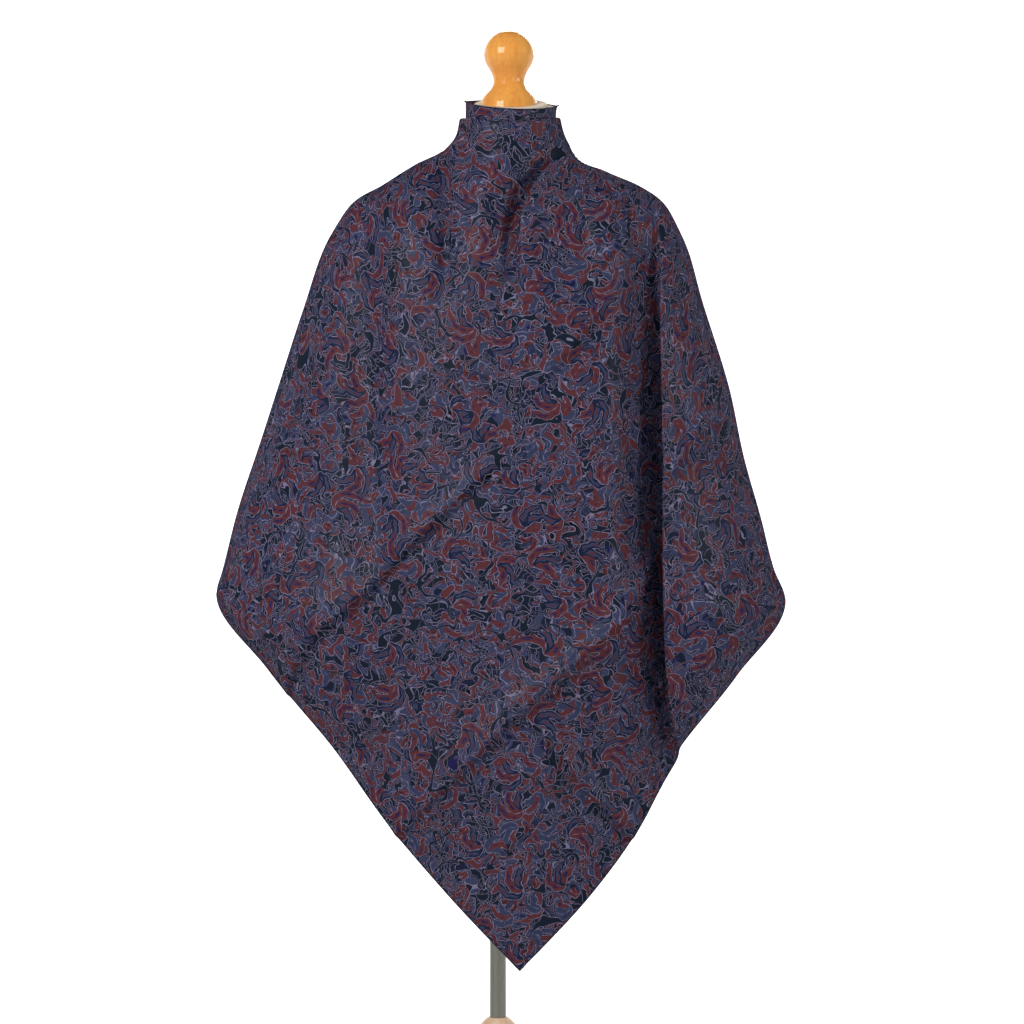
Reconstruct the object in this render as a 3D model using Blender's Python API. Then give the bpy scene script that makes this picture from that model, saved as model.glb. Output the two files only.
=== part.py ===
"""A square silk scarf hung as a diamond round a limbless dress form on a turned wooden tripod stand.

Metres, +Z up. The front faces -Y, +X is the viewer's right, and the stand's feet rest on Z = 0.
"""

import math

import bpy
import numpy as np

# The cut: a plain square, hung by one corner. Heights on the cloth run up its diagonal from the low corner.
SCARF_SIDE = 0.900
DIAGONAL = SCARF_SIDE * math.sqrt(2)
CELLS = 33  # grid cells in half the diagonal
CELL = DIAGONAL / (2 * CELLS)
FOLDED_IN = 10  # cells of the top corner that are turned in at the neck
CLOTH_WALL = 0.0012
SEAT_GAP = 0.0003

# The whole part is moved by this, so that the middle of its box is on the Z axis.
SHIFT_X = -0.0035
SHIFT_Y = 0.0632

# Down the middle of the front: height on the cloth, then the place where it hangs.
FRONT_COLUMNS = ("cloth", "x", "y", "z")
FRONT = (
    (0.000, 0.0270, -0.115, 0.404),
    (0.265, 0.0250, -0.119, 0.660),
    (0.516, 0.0220, -0.125, 0.903),
    (0.742, 0.0200, -0.128, 1.121),
    (0.817, 0.0190, -0.124, 1.194),
    (0.895, 0.0175, -0.110, 1.267),
    (0.956, 0.0170, -0.092, 1.324),
    (1.005, 0.0160, -0.077, 1.368),
    (1.045, 0.0155, -0.069, 1.406),
    (1.080, 0.0150, -0.066, 1.440),
)

# Down each side: the outer edge that shows from the front, which is the hem up to the turn and a soft fold
# above it. reach is how far round the section is there, in degrees. behind_x and behind_y are where the
# section that goes on behind would close.
TURN = 0.453  # height on the cloth where the hem passes to the back
SIDE_COLUMNS = ("cloth", "x", "y", "z", "reach", "behind_x", "behind_y")
LEFT = (
    (0.000, 0.027, -0.115, 0.404, 25, 0.027, -0.115),
    (0.090, -0.059, -0.098, 0.493, 38, -0.059, -0.098),
    (0.180, -0.138, -0.070, 0.584, 52, -0.138, -0.070),
    (0.270, -0.206, -0.025, 0.674, 66, -0.190, -0.020),
    (0.360, -0.286, 0.015, 0.765, 80, -0.240, 0.050),
    (0.453, -0.355, 0.050, 0.859, 90, -0.180, 0.100),
    (0.482, -0.348, 0.053, 0.889, 90, -0.155, 0.105),
    (0.540, -0.332, 0.056, 0.955, 90, -0.090, 0.113),
    (0.628, -0.302, 0.056, 1.047, 90, -0.040, 0.116),
    (0.700, -0.280, 0.052, 1.114, 90, -0.030, 0.118),
    (0.780, -0.247, 0.044, 1.214, 90, -0.030, 0.118),
    (0.885, -0.207, 0.028, 1.315, 90, -0.030, 0.112),
    (0.925, -0.181, 0.018, 1.350, 90, -0.020, 0.103),
    (0.963, -0.145, 0.010, 1.370, 90, -0.010, 0.094),
    (1.005, -0.104, 0.004, 1.395, 90, 0.005, 0.079),
    (1.045, -0.064, 0.000, 1.416, 90, 0.010, 0.068),
    (1.061, -0.053, 0.000, 1.430, 90, 0.012, 0.064),
    (1.080, -0.048, 0.000, 1.451, 90, 0.013, 0.062),
)
RIGHT = (
    (0.000, 0.027, -0.115, 0.404, 25, 0.027, -0.115),
    (0.090, 0.111, -0.098, 0.492, 38, 0.111, -0.098),
    (0.180, 0.177, -0.072, 0.580, 52, 0.177, -0.072),
    (0.270, 0.223, -0.035, 0.668, 66, 0.190, -0.020),
    (0.360, 0.296, 0.010, 0.757, 80, 0.240, 0.050),
    (0.453, 0.362, 0.048, 0.851, 90, 0.190, 0.100),
    (0.486, 0.349, 0.051, 0.888, 90, 0.150, 0.105),
    (0.540, 0.334, 0.054, 0.948, 90, 0.095, 0.113),
    (0.628, 0.310, 0.055, 1.035, 90, 0.045, 0.116),
    (0.700, 0.292, 0.052, 1.119, 90, 0.040, 0.118),
    (0.780, 0.260, 0.044, 1.220, 90, 0.050, 0.118),
    (0.885, 0.230, 0.028, 1.311, 90, 0.060, 0.112),
    (0.925, 0.209, 0.018, 1.347, 90, 0.055, 0.103),
    (0.963, 0.181, 0.010, 1.367, 90, 0.045, 0.094),
    (1.005, 0.134, 0.004, 1.388, 90, 0.028, 0.079),
    (1.045, 0.096, 0.000, 1.408, 90, 0.020, 0.068),
    (1.061, 0.084, 0.000, 1.430, 90, 0.018, 0.064),
    (1.080, 0.078, 0.000, 1.452, 90, 0.017, 0.062),
)

# The largest folds, each a trough that runs down the front: where it is, half its width, and its depth.
FOLD_COLUMNS = ("z", "x", "half_width", "depth")
FOLDS = {
    "deep fold at the right": (
        (0.640, 0.214, 0.032, 0.034),
        (0.668, 0.208, 0.033, 0.040),
        (0.731, 0.192, 0.034, 0.043),
        (0.829, 0.178, 0.034, 0.042),
        (1.037, 0.180, 0.036, 0.034),
        (1.159, 0.176, 0.036, 0.020),
        (1.250, 0.182, 0.030, 0.008),
        (1.320, 0.186, 0.026, 0.000),
    ),
    "soft fold at the left": (
        (0.560, -0.120, 0.045, 0.004),
        (0.800, -0.150, 0.050, 0.016),
        (1.000, -0.150, 0.048, 0.018),
        (1.134, -0.146, 0.045, 0.014),
        (1.281, -0.140, 0.040, 0.004),
        (1.320, -0.140, 0.040, 0.000),
    ),
    "cowl under the neck": (
        (1.233, 0.019, 0.026, 0.000),
        (1.286, 0.022, 0.024, 0.004),
        (1.336, 0.032, 0.022, 0.007),
        (1.363, 0.043, 0.022, 0.007),
        (1.393, 0.072, 0.020, 0.004),
        (1.410, 0.080, 0.020, 0.000),
    ),
    "left of the neck": (
        (1.220, -0.065, 0.026, 0.000),
        (1.257, -0.062, 0.024, 0.004),
        (1.320, -0.057, 0.022, 0.006),
        (1.396, -0.051, 0.020, 0.003),
        (1.415, -0.050, 0.020, 0.000),
    ),
}

# The dress form, from its hips to the top of its neck: sections that are rounded ovals.
FORM_X = 0.0160
FORM_SEGMENTS = 64
FORM_SQUARENESS = 2.1
NECK_RADIUS = 0.0555
NECK_TILT = 0.26  # rise of the neck's top towards the back, per metre
NECK_TOP = 1.466
FORM_COLUMNS = ("z", "half_width", "front", "back")
FORM = (
    (0.735, 0.140, 0.084, 0.094),
    (0.745, 0.154, 0.097, 0.108),
    (0.800, 0.158, 0.100, 0.110),
    (0.860, 0.150, 0.098, 0.102),
    (0.930, 0.129, 0.090, 0.086),
    (0.985, 0.117, 0.085, 0.078),
    (1.040, 0.123, 0.092, 0.081),
    (1.100, 0.142, 0.108, 0.092),
    (1.160, 0.156, 0.119, 0.099),
    (1.220, 0.164, 0.114, 0.101),
    (1.270, 0.177, 0.104, 0.100),
    (1.310, 0.1950, 0.0880, 0.096),
    (1.335, 0.1892, 0.0768, 0.091),
    (1.352, 0.1746, 0.0694, 0.086),
    (1.368, 0.1478, 0.0636, 0.080),
    (1.385, 0.1108, 0.0601, 0.071),
    (1.400, 0.0800, 0.0590, 0.063),
    (1.418, 0.057, 0.056, 0.057),
)
NECK_STRAIGHT = 1.426  # above this the neck is round and upright

# The band: the stretch that goes round the neck first and stands above the fold of the main fall.
BAND_SEGMENTS = 64
BAND_OPENING = 1  # segments left open at the back, where its ends meet
BAND_BOTTOM = 1.428
BAND_TOP_MIDDLE = 1.4727
BAND_TOP_LEAN = 0.0027  # the left side stands this much above the middle
BAND_RADIUS = NECK_RADIUS + SEAT_GAP

# Cap, finial, pole and stand.
CAP_RADIUS = 0.046
CAP_HEIGHT = 0.0055
FINIAL_X = 0.0138
FINIAL_COLUMNS = ("z", "radius")
FINIAL = (
    (1.4725, 0.0350),
    (1.4780, 0.0332),
    (1.4835, 0.0288),
    (1.4885, 0.0236),
    (1.4940, 0.0203),
    (1.4990, 0.0193),
    (1.5060, 0.0204),
    (1.5135, 0.0240),
    (1.5215, 0.0288),
    (1.5310, 0.0316),
)
FINIAL_TOP = 1.5625
FINIAL_SEGMENTS = 48
POLE_RADIUS = 0.0104
POLE_SEGMENTS = 32
HUB_TOP = 0.330
HUB_SEGMENTS = 48
HUB_RADIUS = 0.030
HUB_COLUMNS = ("z", "radius")
HUB = (
    (0.262, 0.020),
    (0.265, 0.025),
    (0.272, 0.029),
    (0.277, 0.030),
    (0.302, 0.030),
    (0.309, 0.028),
    (0.316, 0.0245),
    (0.322, 0.021),
    (0.327, 0.0165),
    (0.330, 0.0125),
)
LEGS = 3
LEG_REACH = 0.270
LEG_WIDTH = 0.022
LEG_TOP = 0.300
LEG_ROOT = 0.279
LEG_THICK = 0.020
LEG_STEPS = 10
LEG_ROUNDING = 0.0025
FOOT_LENGTH = 0.034
FOOT_HEIGHT = 0.012

COLOURS = {
    "scarf": (0.026, 0.028, 0.075, 1.0),
    "form": (0.72, 0.63, 0.48, 1.0),
    "turned wood": (0.60, 0.29, 0.075, 1.0),
    "pale wood": (0.70, 0.47, 0.30, 1.0),
    "steel": (0.33, 0.32, 0.31, 1.0),
}


def material(name, roughness, metallic=0.0):
    made = bpy.data.materials.new(name)
    made.use_nodes = True
    shader = made.node_tree.nodes["Principled BSDF"]
    shader.inputs["Base Color"].default_value = COLOURS[name]
    shader.inputs["Roughness"].default_value = roughness
    shader.inputs["Metallic"].default_value = metallic
    return made


def add_object(name, points, faces, made_of):
    """One closed mesh, with its points in the part's own frame."""
    mesh = bpy.data.meshes.new(name)
    moved = np.asarray(points, float) + (SHIFT_X, SHIFT_Y, 0.0)
    mesh.from_pydata([tuple(p) for p in moved], [], [tuple(int(i) for i in f) for f in faces])
    mesh.materials.append(made_of)
    mesh.shade_smooth()
    mesh.set_sharp_from_angle(angle=math.radians(40))
    mesh.validate()
    obj = bpy.data.objects.new(name, mesh)
    bpy.context.scene.collection.objects.link(obj)
    return obj


def through(rows, column, at):
    """A smooth curve through one column of a table, against its first, with no swing past its rows."""
    table = np.array(rows, float)
    x, y = table[:, 0], table[:, column]
    step = np.diff(x)
    rise = np.diff(y) / step
    slope = np.empty_like(y)
    before, after = rise[:-1], rise[1:]
    onward = before * after > 0
    mean = (before * step[1:] + after * step[:-1]) / (step[1:] + step[:-1])
    gentle = np.minimum(np.abs(mean), 3 * np.minimum(np.abs(before), np.abs(after)))
    slope[1:-1] = np.where(onward, np.sign(mean) * gentle, 0.0)
    slope[0], slope[-1] = rise[0], rise[-1]
    at = np.clip(np.asarray(at, float), x[0], x[-1])
    k = np.clip(np.searchsorted(x, at, side="right") - 1, 0, len(step) - 1)
    t = (at - x[k]) / step[k]
    return (
        y[k] * (1 + 2 * t) * (1 - t) ** 2
        + slope[k] * step[k] * t * (1 - t) ** 2
        + y[k + 1] * t**2 * (3 - 2 * t)
        + slope[k + 1] * step[k] * t**2 * (t - 1)
    )


def fold_depth(x, z):
    """How far the folds push the cloth back at a place on the front."""
    total = np.zeros_like(x)
    for rows in FOLDS.values():
        middle = through(rows, 1, z)
        half_width = through(rows, 2, z)
        depth = np.maximum(through(rows, 3, z), 0.0)
        off = np.clip(np.abs(x - middle) / half_width, 0.0, 1.0)
        total += depth * 0.5 * (1 + np.cos(np.pi * off))
    return total


def section(cloth, side, steps=240):
    """The line that one side of the cloth follows at a height on it, from the middle of the front."""
    cx, cy, cz = (float(through(FRONT, k, cloth)) for k in (1, 2, 3))
    ex, ey, ez, reach, bx, by = (float(through(side, k, cloth)) for k in range(1, 7))
    angle = math.radians(min(reach, 90.0))
    turn = np.linspace(0.0, angle, steps)
    across = np.sin(turn) / math.sin(angle)
    x = cx + (ex - cx) * across
    y = cy + (ey - cy) * (1 - np.cos(turn)) / (1 - math.cos(angle))
    z = cz + (ez - cz) * across**2
    y = y + fold_depth(x, z)
    if cloth > TURN:
        on = np.linspace(0.0, math.pi / 2, steps)[1:]
        lean = 1 - np.cos(on)
        x = np.concatenate([x, ex + (bx - ex) * lean])
        y = np.concatenate([y, ey + (by - ey) * np.sin(on)])
        z = np.concatenate([z, ez + 0.5 * (cz - ez) * lean**2])
    return np.column_stack([x, y, z])


def half_width_of_cut(cloth):
    return min(cloth, DIAGONAL - cloth)


def hung(cloth, side, shares):
    """Places across the cloth at a height on it, by their share of the way from the middle to the hem."""
    line = section(cloth, side)
    run = np.concatenate([[0.0], np.cumsum(np.linalg.norm(np.diff(line, axis=0), axis=1))])
    to_hem = min(run[-1], half_width_of_cut(cloth)) if cloth > TURN else run[-1]
    at = np.asarray(shares) * to_hem
    return np.column_stack([np.interp(at, run, line[:, k]) for k in range(3)])


def fall_sheet():
    """The middle surface of the main fall, as a square grid turned 45 degrees to the hems."""
    top_row = 2 * CELLS - FOLDED_IN
    index, points = {}, []
    for row in range(top_row + 1):
        cloth = max(row * CELL, 1e-4)
        width = min(row, 2 * CELLS - row)
        shares = np.arange(0, width + 1) / max(width, 1)
        for sign, side in ((-1, LEFT), (1, RIGHT)):
            places = hung(cloth, side, shares)
            for column in range(0 if sign < 0 else 1, width + 1):
                index[sign * column, row] = len(points)
                points.append(places[column])
    faces = []
    for row in range(top_row):
        for column in range(-CELLS, CELLS):
            ring = ((column, row), (column + 1, row), (column + 1, row + 1), (column, row + 1))
            corners = [index[key] for key in ring if key in index]
            if len(corners) == 4 and column >= 0:
                faces += [corners[:3], [corners[0], corners[2], corners[3]]]
            elif len(corners) == 4:
                faces += [[corners[0], corners[1], corners[3]], corners[1:]]
            elif len(corners) == 3:
                faces.append(corners)
    return np.array(points), np.array(faces)


def thickened(points, faces, wall):
    """A closed wall about a sheet of triangles."""
    a, b, c = (points[faces[:, k]] for k in range(3))
    normal = np.zeros_like(points)
    for k in range(3):
        np.add.at(normal, faces[:, k], np.cross(b - a, c - a))
    normal /= np.linalg.norm(normal, axis=1)[:, None]
    outer, inner = points + normal * wall / 2, points - normal * wall / 2
    count = len(points)
    ends = np.concatenate([faces[:, [0, 1]], faces[:, [1, 2]], faces[:, [2, 0]]])
    backwards = {(int(q), int(p)) for p, q in ends}
    rim = [(int(p), int(q)) for p, q in ends if (int(p), int(q)) not in backwards]
    walls = [f for p, q in rim for f in ((q, p, p + count), (q, p + count, q + count))]
    every = [tuple(f) for f in faces] + [tuple(f[::-1] + count) for f in faces] + walls
    return np.concatenate([outer, inner]), every


def scarf_fall(made_of):
    points, faces = thickened(*fall_sheet(), CLOTH_WALL)
    return add_object("scarf_main_fall", points, faces, made_of)


def band_top(angle):
    """The band's top edge follows the tilt of the neck and stands a little higher at the left."""
    back = math.sin(angle) * BAND_RADIUS
    return BAND_TOP_MIDDLE + NECK_TILT * back - BAND_TOP_LEAN * math.cos(angle)


def scarf_band(made_of):
    """A wall that goes nearly once round the neck, open at the back."""
    used = BAND_SEGMENTS - BAND_OPENING
    first = math.pi / 2 + math.pi * BAND_OPENING / BAND_SEGMENTS
    points, faces = [], []
    for k in range(used + 1):
        angle = first + 2 * math.pi * k / BAND_SEGMENTS
        for radius, z in (
            (BAND_RADIUS, BAND_BOTTOM),
            (BAND_RADIUS + CLOTH_WALL, BAND_BOTTOM),
            (BAND_RADIUS + CLOTH_WALL, band_top(angle)),
            (BAND_RADIUS, band_top(angle)),
        ):
            points.append((FORM_X + radius * math.cos(angle), radius * math.sin(angle), z))
    for k in range(used):
        for m in range(4):
            a, b = 4 * k + m, 4 * k + (m + 1) % 4
            faces.append((a, a + 4, b + 4, b))
    faces.append((0, 1, 2, 3))
    faces.append(tuple(4 * used + m for m in (3, 2, 1, 0)))
    return add_object("scarf_neck_band", points, faces, made_of)


def stacked(rings, bottom_cap=True, top_cap=True):
    """Faces that join rings of equal length, from the lowest up, with flat ends."""
    count = len(rings[0])
    points = [p for ring in rings for p in ring]
    faces = []
    for level in range(len(rings) - 1):
        for k in range(count):
            a, b = level * count + k, level * count + (k + 1) % count
            faces.append((a, b, b + count, a + count))
    if bottom_cap:
        faces.append(tuple(range(count))[::-1])
    if top_cap:
        faces.append(tuple(range((len(rings) - 1) * count, len(rings) * count)))
    return points, faces


def oval(x, z, half_width, front, back, tilt=0.0, power=FORM_SQUARENESS):
    ring = []
    for k in range(FORM_SEGMENTS):
        angle = 2 * math.pi * (k + 0.5) / FORM_SEGMENTS
        c, s = math.cos(angle), math.sin(angle)
        depth = back if s > 0 else front
        px = half_width * math.copysign(abs(c) ** (2 / power), c)
        py = depth * math.copysign(abs(s) ** (2 / power), s)
        ring.append((x + px, py, z + tilt * py))
    return ring


def dress_form(made_of):
    """Hips, waist, bust, shoulders and neck: smooth, whole and with no limbs."""
    rings = [oval(FORM_X, *row) for row in FORM]
    for z, tilt in ((NECK_STRAIGHT, 0.0), (NECK_TOP, NECK_TILT)):
        ring = oval(FORM_X, z, NECK_RADIUS, NECK_RADIUS, NECK_RADIUS, tilt, power=2.0)
        rings.append(ring)
    points, faces = stacked(rings)
    return add_object("form_torso", points, faces, made_of)


def neck_cap(made_of):
    """A thin round cap that tilts with the neck's top."""
    rounding = 0.0015
    rings = []
    outline = ((0.0, rounding), (rounding, 0.0), (CAP_HEIGHT - rounding, 0.0), (CAP_HEIGHT, rounding))
    for lift, inset in outline:
        radius = CAP_RADIUS - inset
        z = NECK_TOP + SEAT_GAP + lift
        rings.append(oval(FORM_X, z, radius, radius, radius, NECK_TILT, power=2.0))
    points, faces = stacked(rings)
    return add_object("form_neck_cap", points, faces, made_of)


def turned(name, x, profile, segments, made_of):
    """A turned piece: rings of a radius at a height, given from the lowest up."""
    rings = []
    for z, radius in profile:
        angles = [2 * math.pi * (k + 0.5) / segments for k in range(segments)]
        rings.append([(x + radius * math.cos(a), radius * math.sin(a), z) for a in angles])
    points, faces = stacked(rings)
    return add_object(name, points, faces, made_of)


def finial(made_of):
    """A ball on a waisted foot, whose underside is cut to the slope of the cap."""
    seat = NECK_TOP + CAP_HEIGHT + 2 * SEAT_GAP
    heights = np.linspace(FINIAL[0][0], FINIAL[-1][0], 15)
    profile = [(z, float(through(FINIAL, 1, z))) for z in heights]
    ball = FINIAL_TOP - FINIAL[-1][0]
    for step in range(1, 7):
        rise = math.radians(90 * step / 7)
        profile.append((FINIAL[-1][0] + ball * math.sin(rise), FINIAL[-1][1] * math.cos(rise)))
    obj = turned("form_finial", FINIAL_X, profile, FINIAL_SEGMENTS, made_of)
    foot, waist = FINIAL[0][0], FINIAL[4][0]
    for vertex in obj.data.vertices:
        part_way = np.clip((waist - vertex.co.z) / (waist - foot), 0.0, 1.0)
        vertex.co.z += part_way**2 * (seat - foot + NECK_TILT * (vertex.co.y - SHIFT_Y))
    return obj


def pole(made_of):
    profile = [(HUB_TOP + SEAT_GAP, POLE_RADIUS), (FORM[0][0] - SEAT_GAP, POLE_RADIUS)]
    return turned("stand_pole", 0.0, profile, POLE_SEGMENTS, made_of)


def leg(number, made_of):
    """A curved leg that leaves the hub nearly level and comes down to a flat foot."""
    start = HUB_RADIUS * math.cos(math.pi / HUB_SEGMENTS) + SEAT_GAP
    foot_start = LEG_REACH - FOOT_LENGTH
    upper, lower = [], []
    for step in range(LEG_STEPS + 1):
        t = step / LEG_STEPS
        r = start + (foot_start - start) * t
        drop = 0.35 * t + 0.65 * t**2
        upper.append((r, LEG_TOP + (FOOT_HEIGHT + LEG_THICK * 0.4 - LEG_TOP) * drop))
        lower.append((r, LEG_ROOT * (1 - drop)))
    upper.append((LEG_REACH, FOOT_HEIGHT * 0.7))
    lower.append((LEG_REACH, 0.0))
    outline = lower + upper[::-1]
    angle = 2 * math.pi * number / LEGS - math.pi / 2
    c, s = math.cos(angle), math.sin(angle)
    points = []
    for half in (-LEG_WIDTH / 2, LEG_WIDTH / 2):
        points += [(r * c - half * s, r * s + half * c, z) for r, z in outline]
    count = len(outline)
    faces = [tuple(range(count)), tuple(range(count, 2 * count))[::-1]]
    faces += [(k, k + count, (k + 1) % count + count, (k + 1) % count) for k in range(count)]
    obj = add_object(f"stand_leg_{number + 1}", points, faces, made_of)
    rounding = obj.modifiers.new("rounding", "BEVEL")
    rounding.width = LEG_ROUNDING
    rounding.segments = 2
    rounding.limit_method = "ANGLE"
    rounding.angle_limit = math.radians(50)
    return obj


def build():
    for obj in list(bpy.data.objects):
        bpy.data.objects.remove(obj)
    silk = material("scarf", 0.42)
    jersey = material("form", 0.9)
    turned_wood = material("turned wood", 0.25)
    pale_wood = material("pale wood", 0.35)
    steel = material("steel", 0.3, metallic=1.0)
    scarf_fall(silk)
    scarf_band(silk)
    dress_form(jersey)
    neck_cap(jersey)
    finial(turned_wood)
    pole(steel)
    turned("stand_hub", 0.0, HUB, HUB_SEGMENTS, pale_wood)
    for number in range(LEGS):
        leg(number, pale_wood)


build()
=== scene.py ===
import functools
import math

import bpy
import numpy as np
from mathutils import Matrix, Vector


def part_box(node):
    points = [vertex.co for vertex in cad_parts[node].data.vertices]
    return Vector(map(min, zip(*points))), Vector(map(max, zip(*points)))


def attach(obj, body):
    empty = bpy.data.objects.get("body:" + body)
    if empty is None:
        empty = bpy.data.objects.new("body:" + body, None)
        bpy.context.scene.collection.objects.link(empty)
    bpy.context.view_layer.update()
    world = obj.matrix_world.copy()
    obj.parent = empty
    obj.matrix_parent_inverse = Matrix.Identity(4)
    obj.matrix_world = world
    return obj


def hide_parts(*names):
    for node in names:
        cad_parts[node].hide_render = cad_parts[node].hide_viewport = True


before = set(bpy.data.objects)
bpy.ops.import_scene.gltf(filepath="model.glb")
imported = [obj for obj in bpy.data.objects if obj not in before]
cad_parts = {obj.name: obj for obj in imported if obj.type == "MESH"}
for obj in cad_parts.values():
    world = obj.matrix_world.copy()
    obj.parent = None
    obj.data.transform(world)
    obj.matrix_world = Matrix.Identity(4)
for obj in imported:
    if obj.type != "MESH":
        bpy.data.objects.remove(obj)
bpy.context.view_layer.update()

# The part's design axis is the pole: all the places below are from it, in metres.
POLE_LOW, POLE_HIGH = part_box("stand_pole")
AXIS = np.array([(POLE_LOW[0] + POLE_HIGH[0]) / 2, (POLE_LOW[1] + POLE_HIGH[1]) / 2, 0.0])

# The cut: a plain square, hung by one corner. Heights on the cloth run up its diagonal from the low corner.
SCARF_SIDE = 0.900
DIAGONAL = SCARF_SIDE * math.sqrt(2)
CELLS = 148  # grid cells in half the diagonal
CELL = DIAGONAL / (2 * CELLS)
LOWEST = 1e-4  # the lowest section is drawn at this height on the cloth, since the tip itself has no width
FOLDED_IN = 45  # cells of the top corner that are turned in at the neck
SILK_WALL = 0.0004
HEM_RADIUS = 0.0009

# Down the middle of the front: height on the cloth, then x, y and z of the place where it hangs.
FRONT = (
    (0.000, 0.0270, -0.115, 0.404),
    (0.265, 0.0250, -0.119, 0.660),
    (0.516, 0.0220, -0.125, 0.903),
    (0.742, 0.0200, -0.128, 1.121),
    (0.817, 0.0190, -0.124, 1.194),
    (0.895, 0.0175, -0.110, 1.267),
    (0.956, 0.0170, -0.092, 1.324),
    (1.005, 0.0160, -0.077, 1.368),
    (1.045, 0.0155, -0.069, 1.406),
    (1.080, 0.0150, -0.066, 1.440),
)

# Down each side: the outer edge that shows from the front, which is the hem up to the turn and a soft fold
# above it. The columns are the height on the cloth, then x, y and z of the edge, then how far round the
# section is there in degrees, then x and y of where the section that goes on behind would close.
TURN = 0.453  # height on the cloth where the hem passes to the back
LEFT = (
    (0.000, 0.027, -0.115, 0.404, 25, 0.027, -0.115),
    (0.090, -0.059, -0.098, 0.493, 38, -0.059, -0.098),
    (0.180, -0.138, -0.070, 0.584, 52, -0.138, -0.070),
    (0.270, -0.206, -0.025, 0.674, 66, -0.190, -0.020),
    (0.360, -0.286, 0.015, 0.765, 80, -0.240, 0.050),
    (0.453, -0.355, 0.050, 0.859, 90, -0.180, 0.100),
    (0.482, -0.348, 0.053, 0.889, 90, -0.155, 0.105),
    (0.540, -0.332, 0.056, 0.955, 90, -0.090, 0.113),
    (0.628, -0.302, 0.056, 1.047, 90, -0.040, 0.116),
    (0.700, -0.280, 0.052, 1.114, 90, -0.030, 0.118),
    (0.780, -0.247, 0.044, 1.214, 90, -0.030, 0.118),
    (0.885, -0.207, 0.028, 1.315, 90, -0.030, 0.112),
    (0.925, -0.181, 0.018, 1.350, 90, -0.020, 0.103),
    (0.963, -0.145, 0.010, 1.370, 90, -0.010, 0.094),
    (1.005, -0.104, 0.004, 1.395, 90, 0.005, 0.079),
    (1.045, -0.064, 0.000, 1.416, 90, 0.010, 0.068),
    (1.061, -0.053, 0.000, 1.430, 90, 0.012, 0.064),
    (1.080, -0.048, 0.000, 1.451, 90, 0.013, 0.062),
)
RIGHT = (
    (0.000, 0.027, -0.115, 0.404, 25, 0.027, -0.115),
    (0.090, 0.111, -0.098, 0.492, 38, 0.111, -0.098),
    (0.180, 0.177, -0.072, 0.580, 52, 0.177, -0.072),
    (0.270, 0.223, -0.035, 0.668, 66, 0.190, -0.020),
    (0.360, 0.296, 0.010, 0.757, 80, 0.240, 0.050),
    (0.453, 0.362, 0.048, 0.851, 90, 0.190, 0.100),
    (0.486, 0.349, 0.051, 0.888, 90, 0.150, 0.105),
    (0.540, 0.334, 0.054, 0.948, 90, 0.095, 0.113),
    (0.628, 0.310, 0.055, 1.035, 90, 0.045, 0.116),
    (0.700, 0.292, 0.052, 1.119, 90, 0.040, 0.118),
    (0.780, 0.260, 0.044, 1.220, 90, 0.050, 0.118),
    (0.885, 0.230, 0.028, 1.311, 90, 0.060, 0.112),
    (0.925, 0.209, 0.018, 1.347, 90, 0.055, 0.103),
    (0.963, 0.181, 0.010, 1.367, 90, 0.045, 0.094),
    (1.005, 0.134, 0.004, 1.388, 90, 0.028, 0.079),
    (1.045, 0.096, 0.000, 1.408, 90, 0.020, 0.068),
    (1.061, 0.084, 0.000, 1.430, 90, 0.018, 0.064),
    (1.080, 0.078, 0.000, 1.452, 90, 0.017, 0.062),
)

SECTION_STEPS = 480  # points along each half of a section
BEHIND_RISE = 0.5  # share of the way back up to the front's height that the section behind goes
SLACK_SPREAD = 0.15  # height on the cloth over which the slack at the turn dies away

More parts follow.
